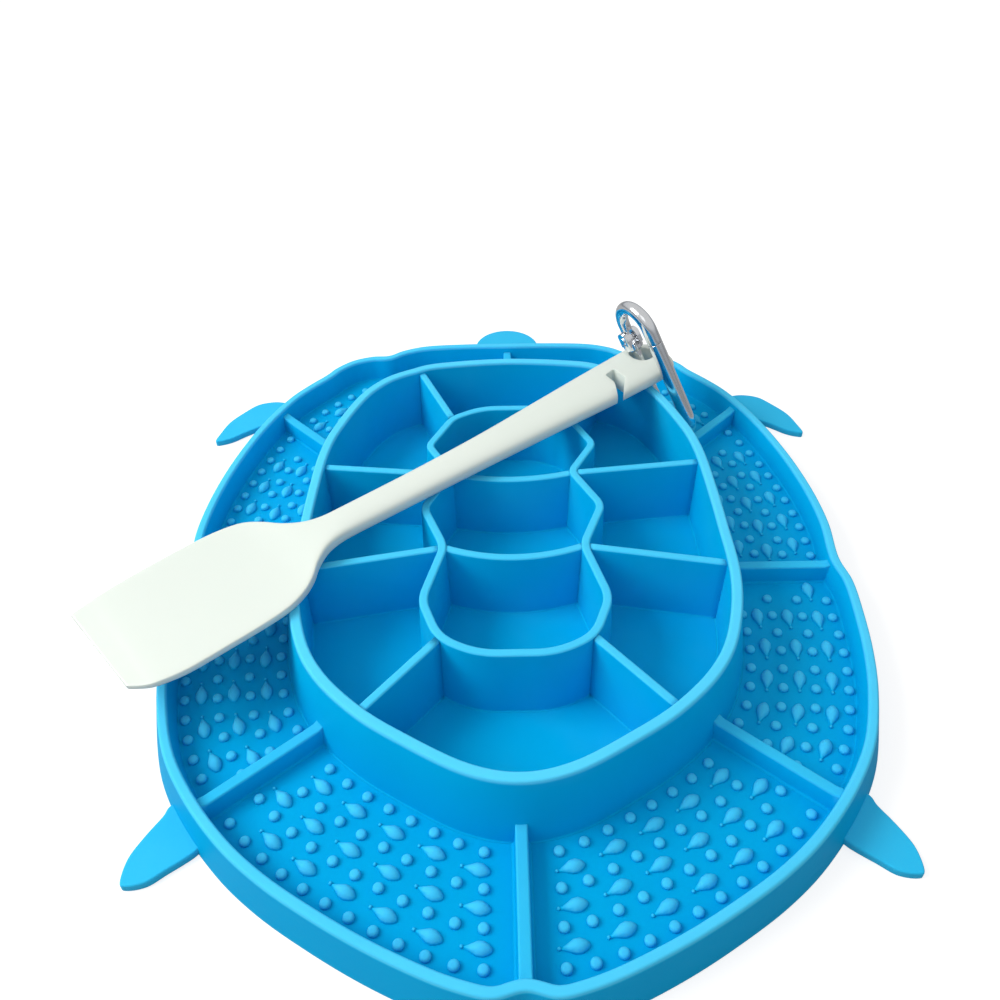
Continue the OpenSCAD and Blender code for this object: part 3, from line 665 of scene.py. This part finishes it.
class TrayOperator(bpy.types.Operator):
    """Make the mat's floor and its scalloped rim"""

    bl_idname = "lick_mat.tray"
    bl_label = "Tray"

    def execute(self, context):
        m, b = context.scene.mat_sizes, context.scene.basin_sizes
        basin = basin_loop()
        bm = bmesh.new()
        foot, fillet, lap = 0.0004, 0.0006, 0.0002
        inner, side = m.rim + m.draft, m.height - m.edge * BELOW_EDGE
        profile = to_height(-m.flare, 0, foot, foot, 2)
        profile += [(-m.flare * 0.94, foot * 3), (-2 * TINY, side)]
        profile += to_side(0, m.height, m.edge, -m.edge, 4)
        profile += to_height(m.rim, m.height, -m.edge, -m.edge, 4)
        profile += [(m.rim + TINY, side)]
        profile += to_side(inner, m.floor, fillet, fillet, 4)
        profile += [(inner + fillet * 1.4, m.floor)]
        bottom, last = rings(bm, rim_loop(), profile)
        fill(bm, bottom)
        for points in (
            level(inset(basin, -lap), m.floor), level(basin, m.floor - lap), level(basin, b.floor),
        ):
            last = next_ring(bm, last, points)
        fill(bm, last)

        # Painted light on the rim's top, painted shade on the outside of the rim and on the
        # trough's floor
        def painted_light(co, normal):
            if co.z > m.height - m.edge * PAINTED_LIGHT_EDGE:
                return RIM_TOP_PAINTED_LIGHT
            if normal.xy.dot(co.xy.normalized()) > 0.2 and co.z > foot * 2:
                return PAINTED_SHADE
            return painted_shade_at_foot(co, m.floor)

        piece = finished(bm, "tray", silicone(), "mat", painted_light)
        even_shading(piece)
        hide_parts("mat_floor", "mat_rim")
        return {"FINISHED"}


class RibsOperator(bpy.types.Operator):
    """Make the eight ribs between the troughs"""

    bl_idname = "lick_mat.ribs"
    bl_label = "Ribs"

    def execute(self, context):
        m = context.scene.mat_sizes
        profile = upright(
            m.rib, draft=0.0003, top=m.rib_height, edge=0.0005, floor=m.floor, fillet=0.0007,
            sunk=0.0004,
        )
        rim_gap, basin_gap, step = 0.0004, 0.0003, 0.0015
        bm = bmesh.new()
        basin = basin_loop()
        for k, (outer, inner) in enumerate(RIB_SHARES):
            a = sized([outer], m.half_width, m.half_length)[0]
            c = meeting(basin, a, at_basin(inner))
            along = (c - a).normalized()
            path = softened([(a + along * rim_gap, 0), (c - along * basin_gap, 0)], step)
            sweep(bm, path, profile)
            if 0 < k < len(RIB_SHARES) - 1:
                sweep(bm, other_side(path), profile)
        # The ribs rise softly where they meet the rim and the basin's outside
        rise, reach, basin_side = 0.0011, 0.0022, -0.0031
        top, painted_light_top = m.rib_height - 0.001, m.rib_height - 0.0006
        trees = []
        for loop, depth in ((rim_loop(), m.rim), (basin, basin_side)):
            tree = kdtree.KDTree(len(loop))
            for i, p in enumerate(inset(loop, depth)):
                tree.insert((p.x, p.y, 0), i)
            tree.balance()
            trees.append(tree)
        for v in bm.verts:
            if v.co.z > top:
                near = min(tree.find((v.co.x, v.co.y, 0))[2] for tree in trees)
                v.co.z += rise * max(0.0, 1 - near / reach) ** 2
        # Painted light on the ribs' tops and painted shade at their feet
        piece = finished(
            bm, "ribs", silicone(), "mat",
            lambda co, normal: RIB_TOP_PAINTED_LIGHT if co.z > painted_light_top else painted_shade_at_foot(co, m.floor),
        )
        even_shading(piece)
        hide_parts("mat_ribs")
        return {"FINISHED"}


class BasinOperator(bpy.types.Operator):
    """Make the wall round the basin"""

    bl_idname = "lick_mat.basin"
    bl_label = "Basin"

    def execute(self, context):
        m, b = context.scene.mat_sizes, context.scene.basin_sizes
        half, fillet, edge = b.wall / 2, 0.0005, m.edge
        outer, inner, side = -half - b.flare, half + b.draft, b.height - edge * BELOW_EDGE
        sunk, bottom = b.floor - 0.0004, m.floor - 0.001
        profile = [(outer - fillet, bottom)] + to_height(outer, m.floor, -fillet, fillet, 4)
        profile += [(-half - 2 * TINY, side)]
        round_in = to_side(0, b.height, edge, -edge, 4)
        profile += [(-half + depth, z) for depth, z in round_in]
        profile += [(half - depth, z) for depth, z in reversed(round_in)]
        profile += [(half + TINY, side)]
        profile += to_side(inner, b.floor, fillet, fillet, 4)
        profile += [(inner + fillet, sunk), (half, sunk), (half, bottom)]
        bm = bmesh.new()
        first, last = rings(bm, basin_loop(), profile)
        next_ring(bm, last, [v.co.copy() for v in first])
        # Painted light on the basin wall's top and painted shade at its foot
        piece = finished(
            bm, "basin", silicone(), "mat",
            lambda co, normal: (
                BASIN_TOP_PAINTED_LIGHT if co.z > b.height - edge * PAINTED_LIGHT_EDGE else painted_shade_at_foot(co, m.floor)
            ),
        )
        even_shading(piece)
        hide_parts("basin_wall")
        return {"FINISHED"}


class DividersOperator(bpy.types.Operator):
    """Make the ring of dividers, its cross walls and its spokes"""

    bl_idname = "lick_mat.dividers"
    bl_label = "Dividers"

    def execute(self, context):
        b = context.scene.basin_sizes
        edge, fillet, sunk = 0.0006, 0.0005, 0.0004
        ring_step, spoke_step, cross_steps = 0.0008, 0.004, 36
        tall = upright(b.divider, b.draft, b.ring_height, edge, b.floor, fillet, sunk)
        low = upright(b.divider, b.draft, b.spoke_height, edge, b.floor, fillet, sunk)
        basin = basin_loop()
        ring = [(at_basin(share), reach) for share, reach in RING_BENDS]
        ring += [(Vector((-p.x, p.y)), reach) for p, reach in reversed(ring)]
        bm = bmesh.new()
        sweep(bm, softened(ring, ring_step, closed=True), tall, closed=True)
        for start, end in SPOKES:
            wall = meeting(basin, at_basin(start), at_basin(end))
            path = softened([(at_basin(start), 0), (wall, 0)], spoke_step)
            sweep(bm, path, low)
            sweep(bm, other_side(path), low)
        for start, middle in CROSSES:
            side, centre = at_basin(start), at_basin((0, middle))
            bow = side.y - centre.y
            ways = [2 * k / cross_steps - 1 for k in range(cross_steps + 1)]
            sweep(bm, [Vector((-u * side.x, centre.y + bow * u * u)) for u in ways], low)
        # Painted light on the upward-facing tops of the dividers
        piece = finished(
            bm, "dividers", silicone(), "mat",
            lambda co, normal: (
                DIVIDER_TOP_PAINTED_LIGHT if normal.z > 0.3 and co.z > b.spoke_height * 0.7 else 0.0
            ),
        )
        even_shading(piece)
        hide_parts("basin_dividers")
        return {"FINISHED"}


class FinsOperator(bpy.types.Operator):
    """Make the four flippers and the head"""

    bl_idname = "lick_mat.fins"
    bl_label = "Flippers and Head"

    def execute(self, context):
        m = context.scene.mat_sizes
        edge, foot = 0.0005, 0.0002
        profile = to_height(0, 0, foot, foot, 2) + [(0, m.fin - edge - foot)]
        profile += to_side(0, m.fin, edge, -edge, 3)

        def outline(fin, reach):
            centre = sized([fin[0]], m.half_width, m.half_length)[0]
            return spline_loop([centre + Vector(s) * reach for s in fin[1]], 6)

        # The head: a half circle on two straight sides
        radius, reach = 0.013, 0.025
        middle = m.half_length + reach - radius
        root = 0.95 * m.half_length
        nose = [
            Vector((radius * math.cos(a), middle + radius * math.sin(a)))
            for a in [math.radians(4 * k) for k in range(46)]
        ]
        sides = [Vector((-radius, y)) for y in (middle - 0.004, middle - 0.008, root)]
        sides += [Vector((radius, y)) for y in (root, middle - 0.008, middle - 0.004)]
        loops = {
            "fore_flipper_right": outline(FORE_FIN, FORE_REACH),
            "rear_flipper_right": outline(REAR_FIN, REAR_REACH),
            "head": nose + sides,
        }
        for name in ("fore_flipper", "rear_flipper"):
            loops[name + "_left"] = flipped(loops[name + "_right"])
        for node, loop in loops.items():
            bm = bmesh.new()
            first, last = rings(bm, loop, profile)
            fill(bm, first)
            fill(bm, last)
            # Painted light over the whole of each flipper and the head
            piece = finished(
                bm, node + "_skin", silicone(), "mat", lambda co, normal: FIN_PAINTED_LIGHT
            )
            even_shading(piece)
            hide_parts(node)
        return {"FINISHED"}


def islands(node):
    """Each nub in a CAD node: its middle, the height of its top and the tip of its tail."""
    bm = bmesh.new()
    bm.from_mesh(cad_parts[node].data)
    bmesh.ops.remove_doubles(bm, verts=bm.verts, dist=1e-6)
    seen = set()
    found = []
    for start in bm.verts:
        if start in seen:
            continue
        seen.add(start)
        group = [start]
        for v in group:
            fresh = [e.other_vert(v) for e in v.link_edges if e.other_vert(v) not in seen]
            seen.update(fresh)
            group += fresh
        tops = max(v.co.z for v in group)
        middle = sum((v.co for v in group), Vector()) / len(group)
        tail = max(group, key=lambda v: (v.co.xy - middle.xy).length).co.xy
        found.append((middle.xy, tops, tail.copy()))
    bm.free()
    found.sort(key=lambda nub: (round(nub[0].x, 5), round(nub[0].y, 5)))
    return found


def dot_mesh():
    """A round nub with a soft shoulder, which starts below the floor."""
    foot, top, depth, middle, shoulder = 0.00142, 0.00128, 0.0016, 0.0005, 0.0006
    bm = bmesh.new()
    made = bmesh.ops.create_cone(
        bm, cap_ends=True, segments=14, radius1=foot, radius2=top, depth=depth
    )["verts"]
    bmesh.ops.translate(bm, verts=made, vec=(0, 0, middle))
    rim = [e for e in bm.edges if min(v.co.z for v in e.verts) > middle + depth / 2 - TINY]
    bmesh.ops.bevel(
        bm, geom=rim, offset=shoulder, segments=2, profile=0.5, affect="EDGES", material=-1
    )
    return mesh_of(bm, "dot")


def drop_mesh():
    """A drop shaped nub along X with its tail towards -X, and a bead at the tail's tip."""
    long, wide, high, ahead, sunk = 0.0072, 0.00195, 0.0021, 0.0003, 0.0002
    bead, bead_place = 0.0005, (-0.0032, 0, 0.0003)
    bm = bmesh.new()
    made = bmesh.ops.create_uvsphere(
        bm, u_segments=12, v_segments=8, radius=1, matrix=Matrix.Rotation(math.pi / 2, 4, "Y")
    )["verts"]
    for v in made:
        u = (v.co.x + 1) / 2
        body, nose = smoothstep(u * 1.5 - 0.05), smoothstep(u * 2.2 - 1.2)
        slim = 0.28 + 0.72 * body * (1 - 0.2 * nose)
        v.co = Vector(((u - 0.5) * long + ahead, v.co.y * wide * slim, v.co.z * high * slim))
    cut = bmesh.ops.bisect_plane(
        bm, geom=bm.verts[:] + bm.edges[:] + bm.faces[:], plane_co=(0, 0, -sunk),
        plane_no=(0, 0, -1), clear_outer=True,
    )["geom_cut"]
    bmesh.ops.edgeloop_fill(bm, edges=[e for e in cut if isinstance(e, bmesh.types.BMEdge)])
    bmesh.ops.create_icosphere(
        bm, subdivisions=1, radius=bead, matrix=Matrix.Translation(bead_place)
    )
    return mesh_of(bm, "drop")


class NubsOperator(bpy.types.Operator):
    """Make the rows of round and drop shaped nubs in each trough"""

    bl_idname = "lick_mat.nubs"
    bl_label = "Nubs"

    def execute(self, context):
        floor = context.scene.mat_sizes.floor
        foot = min(v.co.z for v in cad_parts[NUB_NODES[0]].data.vertices)
        drop_least, drop_half = 0.0015, 0.0035  # least height of a drop, and half its length
        dot, drop = dot_mesh(), drop_mesh()
        for node in NUB_NODES:
            bm = bmesh.new()
            for middle, top, tail in islands(node):
                known = set(bm.verts)
                if top > foot + drop_least:
                    along = (middle - tail).normalized()
                    centre = tail + along * drop_half
                    bm.from_mesh(drop)
                    turn = Matrix.Rotation(math.atan2(along.y, along.x), 4, "Z")
                else:
                    centre, turn = middle, Matrix.Identity(4)
                    bm.from_mesh(dot)
                fresh = [v for v in bm.verts if v not in known]
                bmesh.ops.transform(
                    bm, verts=fresh, matrix=Matrix.Translation((centre.x, centre.y, floor)) @ turn
                )
            if not bm.verts:
                raise RuntimeError("no nubs found in " + node)
            # Painted shade at the foot of each nub, rising to painted light at its top
            piece = finished(
                bm, node + "_skin", silicone(), "mat",
                lambda co, normal: min(max((co.z - floor) / NUB_LIGHT_RISE + PAINTED_SHADE, PAINTED_SHADE), NUB_TOP_PAINTED_LIGHT),
            )
            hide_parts(node)
        bpy.data.meshes.remove(dot)
        bpy.data.meshes.remove(drop)
        return {"FINISHED"}


def spatula_section(station, s, sides):
    """One cross section of the spatula: scooped with square edges at the blade, and rounder at
    the handle. A station is a point on the near edge, one on the far edge, and the thickness."""
    neck, neck_length = 0.25, 0.12  # in shares of the spatula's length
    near, far = Vector(station[0:2]), Vector(station[2:4])
    thickness = station[4]
    middle, half = (near + far) / 2, (far - near) / 2
    handle = smoothstep((middle.x / s.length - neck) / neck_length)
    power = 0.2 + 0.5 * handle  # 1 would be an ellipse, and 0 a rectangle
    dip = s.scoop * (1 - handle)
    out = []
    for k in range(sides):
        a = 2 * math.pi * k / sides
        across = math.copysign(abs(math.cos(a)) ** power, math.cos(a))
        up = math.copysign(abs(math.sin(a)) ** power, math.sin(a))
        p = middle - half * across
        sunk = dip * (1 - across * across) if up > 0 else 0
        out.append((p.x, p.y, thickness / 2 * (1 + up) - sunk))
    return out


class SpatulaOperator(bpy.types.Operator):
    """Make the spatula with its scooped blade, hanging hole and notch"""

    bl_idname = "lick_mat.spatula"
    bl_label = "Spatula"

    def execute(self, context):
        s = context.scene.spatula_sizes
        edge, notch_reach, notch_step = 0.0004, 0.0009, 0.0004
        blade, handle = s.blade / 2, s.handle / 2
        controls = [
            Vector((a * s.length, -b * blade, c * s.length, d * blade, e * s.thickness))
            for a, b, c, d, e in BLADE_SHARES
        ]
        controls += [
            Vector((a * s.length, -b * handle, a * s.length, c * handle, d * s.thickness))
            for a, b, c, d in HANDLE_SHARES
        ]
        stations = [spatula_section(p, s, 48) for p in spline_path(controls, 5)]
        bm = bmesh.new()
        first = last = first_ring(bm, stations[0])
        for station in stations[1:]:
            last = next_ring(bm, last, station)
        capped(bm, first, edge)
        capped(bm, last, edge)
        hang = s.length - s.hole_back
        lie = (
            hole_at(context, s.lift) @ Matrix.Rotation(s.turn, 4, "Z")
            @ Matrix.Translation((-hang, 0, 0))
        )
        bmesh.ops.transform(bm, verts=bm.verts, matrix=lie)
        piece = finished(bm, "spatula_body", plastic(), "spatula")
        # Hole and notch, cut from well below the handle to well above it
        cut = bmesh.new()
        bmesh.ops.create_cone(
            cut, cap_ends=True, segments=64, radius1=s.hole / 2, radius2=s.hole / 2, depth=0.02,
            matrix=Matrix.Translation((hang, 0, s.thickness / 2)),
        )
        bends = [(Vector((hang + a * s.handle, b * s.handle)), notch_reach) for a, b in NOTCH_BENDS]
        slot = softened(bends, notch_step, closed=True)
        low = first_ring(cut, level(slot, -0.005))
        high = next_ring(cut, low, level(slot, 0.015))
        fill(cut, low)
        fill(cut, high)
        bmesh.ops.recalc_face_normals(cut, faces=cut.faces)
        bmesh.ops.transform(cut, verts=cut.verts, matrix=lie)
        cutter = placed("cutter", mesh_of(cut, "cutter"))
        boolean = piece.modifiers.new("Openings", "BOOLEAN")
        boolean.operation = "DIFFERENCE"
        boolean.solver = "EXACT"
        boolean.object = cutter
        bevel = piece.modifiers.new("Edges", "BEVEL")
        bevel.width = edge
        bevel.segments = 2
        bevel.limit_method = "ANGLE"
        bevel.angle_limit = math.radians(50)
        seen = piece.evaluated_get(context.evaluated_depsgraph_get())
        made = bpy.data.meshes.new_from_object(seen)
        piece.modifiers.clear()
        piece.data = made
        bpy.data.objects.remove(cutter)
        smooth(made)
        if len(made.polygons) < 500:
            raise RuntimeError("the spatula's openings took its body away")
        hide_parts("spatula")
        return {"FINISHED"}


def clip_wire(c):
    """Centre line and radius of the clip's wire in its own plane: of its body, then of its bow."""
    bend, gap = c.width / 2, 0.00015
    half_turn = [math.pi * k / 24 for k in range(25)]
    # The body's limb grows from the thickness of the solid, down to its bend
    body = [(0.0, -0.011, 0.00176), (0.0, -0.015, 0.00195), (0.0, -c.down, c.wire * 0.9)]
    body += [
        (bend * (1 - math.cos(a)), -c.down - bend * math.sin(a), c.wire * (0.9 + 0.1 * a / math.pi))
        for a in half_turn[1:]
    ]
    body += [(c.width, -c.down + (c.down + c.seam) * k / 8, c.wire) for k in range(1, 9)]
    # The bow starts above the seam and thins towards the knuckle
    bow = [(c.width, c.seam + gap + (c.up - c.seam - gap) * k / 4, c.wire) for k in range(5)]
    bow += [
        (bend * (1 + math.cos(a)), c.up + bend * math.sin(a), c.wire * (1 - 0.18 * a / math.pi))
        for a in half_turn[1:-1]
    ]
    bow += [(0.0, c.up, c.wire * 0.82), (0.0, c.up - 0.0012, c.wire * 0.8)]
    return body, bow


def wire_shell(wire, sides, rounding):
    """A round wire through (x, z, radius) points in the XZ plane, with rounded ends."""
    bm = bmesh.new()
    around = [math.tau * k / sides for k in range(sides)]
    first = last = None
    for i, (x, z, radius) in enumerate(wire):
        before, after = wire[max(i - 1, 0)], wire[min(i + 1, len(wire) - 1)]
        along = Vector((after[0] - before[0], 0, after[1] - before[1])).normalized()
        side = Vector((along.z, 0, -along.x))
        points = [
            Vector((x, 0, z)) + radius * (side * math.cos(a) + Vector((0, math.sin(a), 0)))
            for a in around
        ]
        if last is None:
            first = last = first_ring(bm, points)
        else:
            last = next_ring(bm, last, points)
    capped(bm, first, rounding)
    capped(bm, last, rounding)
    return bm


class ClipOperator(bpy.types.Operator):
    """Give the spring clip its chrome plate and the full thickness of its wire"""

    bl_idname = "lick_mat.clip"
    bl_label = "Clip"

    def execute(self, context):
        s, c = context.scene.spatula_sizes, context.scene.clip_sizes
        lean = Euler(c.lean, "XYZ").to_matrix().to_4x4()
        hanging = hole_at(context, s.lift + s.thickness / 2) @ lean
        for name, body, wire in zip(("clip_wire", "bow_wire"), ("clip", "clip_bow"), clip_wire(c)):
            bm = wire_shell(wire, 28, 0.00016)
            bmesh.ops.transform(bm, verts=bm.verts, matrix=hanging)
            even_shading(finished(bm, name, chrome(), body))
        for node in ("clip_body", "clip_bow", "clip_rivet", "clip_spring"):
            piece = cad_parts[node]
            if not piece.material_slots:
                piece.data.materials.append(chrome())
            for slot in piece.material_slots:
                slot.material = chrome()
        return {"FINISHED"}


def paper():
    """Paper that is white to the eye, but throws little light up at the mat."""
    material = bpy.data.materials.new("paper")
    material.use_nodes = True
    set_inputs(
        material, Base_Color=(0.4, 0.4, 0.4, 1), Roughness=0.9, Specular_IOR_Level=0.1,
        Emission_Color=(1, 1, 1, 1),
    )
    tree = material.node_tree
    seen = node_of(tree, "ShaderNodeLightPath", (-500, 0))
    glow = node_of(tree, "ShaderNodeMapRange", (-250, 0))
    glow.inputs["To Max"].default_value = 0.72
    tree.links.new(seen.outputs["Is Camera Ray"], glow.inputs["Value"])
    shader = tree.nodes["Principled BSDF"]
    tree.links.new(glow.outputs["Result"], shader.inputs["Emission Strength"])
    return material


def studio():
    """Soft light from above, dimmer from the sides, with walls that are plain white where seen."""
    world = bpy.data.worlds.new("studio")
    world.use_nodes = True
    tree = world.node_tree
    link = tree.links.new
    place = node_of(tree, "ShaderNodeTexCoord", (-900, 0))
    axes = node_of(tree, "ShaderNodeSeparateXYZ", (-700, 0))
    link(place.outputs["Generated"], axes.inputs["Vector"])
    sky = node_of(tree, "ShaderNodeValToRGB", (-500, 0))
    ramp = sky.color_ramp.elements
    ramp[0].position = 0.0
    ramp[0].color = (0.3, 0.32, 0.35, 1)
    ramp[1].position = 0.6
    ramp[1].color = (1, 1, 1, 1)
    ramp.new(0.25).color = (0.9, 0.92, 0.95, 1)
    link(axes.outputs["Z"], sky.inputs["Fac"])
    background = tree.nodes["Background"]
    link(sky.outputs["Color"], background.inputs["Color"])
    background.inputs["Strength"].default_value = 0.68
    seen = node_of(tree, "ShaderNodeLightPath", (-300, 300))
    white = node_of(tree, "ShaderNodeBackground", (0, -200), Color=(1, 1, 1, 1), Strength=1.0)
    either = node_of(tree, "ShaderNodeMixShader", (200, 0))
    link(seen.outputs["Is Camera Ray"], either.inputs[0])
    link(background.outputs["Background"], either.inputs[1])
    link(white.outputs["Background"], either.inputs[2])
    link(either.outputs["Shader"], tree.nodes["World Output"].inputs["Surface"])
    return world


class StageOperator(bpy.types.Operator):
    """Make the floor, the lights and the camera"""

    bl_idname = "lick_mat.stage"
    bl_label = "Stage"

    def execute(self, context):
        scene = context.scene
        bm = bmesh.new()
        bmesh.ops.create_grid(bm, x_segments=1, y_segments=1, size=3.0)
        floor = placed("floor", mesh_of(bm, "floor"))
        floor.data.materials.append(paper())
        scene.view_settings.view_transform = "Standard"
        scene.world = studio()
        for name, place, size, power in LAMPS:
            data = bpy.data.lights.new(name, "AREA")
            data.size = size
            data.energy = power
            lamp = placed(name, data)
            lamp.location = place
            way = Vector(LAMPS_AIM) - lamp.location
            lamp.rotation_euler = way.to_track_quat("-Z", "Y").to_euler()

        data = bpy.data.cameras.new("camera")
        data.lens = LENS
        data.sensor_width = 36
        data.clip_start = 0.01
        data.shift_y = SHIFT
        camera = placed("camera", data)
        turn = (
            Matrix.Rotation(YAW, 4, "Z") @ Matrix.Rotation(math.pi / 2 - PITCH, 4, "X")
            @ Matrix.Rotation(ROLL, 4, "Z")
        )
        camera.matrix_world = Matrix.Translation(CAMERA_PLACE) @ turn
        scene.camera = camera
        return {"FINISHED"}


class LickMatPanel(bpy.types.Panel):
    """Sizes, colours and pieces of the lick mat"""

    bl_idname = "VIEW3D_PT_lick_mat"
    bl_label = "Lick Mat"
    bl_space_type = "VIEW_3D"
    bl_region_type = "UI"
    bl_category = "Lick Mat"

    def draw(self, context):
        for group in GROUPS:
            owner = getattr(context.scene, group)
            box = self.layout.box()
            for name in owner.__annotations__:
                box.prop(owner, name)
        for operator in OPERATORS:
            self.layout.operator(operator.bl_idname)


OPERATORS = [
    TrayOperator, RibsOperator, BasinOperator, DividersOperator, FinsOperator, NubsOperator,
    SpatulaOperator, ClipOperator, StageOperator,
]
GROUPS = {
    "mat_sizes": MatSizes, "basin_sizes": BasinSizes, "spatula_sizes": SpatulaSizes,
    "clip_sizes": ClipSizes, "finishes": Finishes,
}


def register():
    for group in GROUPS.values():
        bpy.utils.register_class(group)
    for operator in OPERATORS:
        bpy.utils.register_class(operator)
    bpy.utils.register_class(LickMatPanel)
    for name, group in GROUPS.items():
        setattr(bpy.types.Scene, name, bpy.props.PointerProperty(type=group))


def unregister():
    for name in GROUPS:
        delattr(bpy.types.Scene, name)
    bpy.utils.unregister_class(LickMatPanel)
    for item in reversed(OPERATORS):
        bpy.utils.unregister_class(item)
    for group in reversed(list(GROUPS.values())):
        bpy.utils.unregister_class(group)


def main():
    register()
    bpy.ops.lick_mat.tray()
    bpy.ops.lick_mat.ribs()
    bpy.ops.lick_mat.basin()
    bpy.ops.lick_mat.dividers()
    bpy.ops.lick_mat.fins()
    bpy.ops.lick_mat.nubs()
    bpy.ops.lick_mat.spatula()
    bpy.ops.lick_mat.clip()
    bpy.ops.lick_mat.stage()


if __name__ == "__main__":
    main()
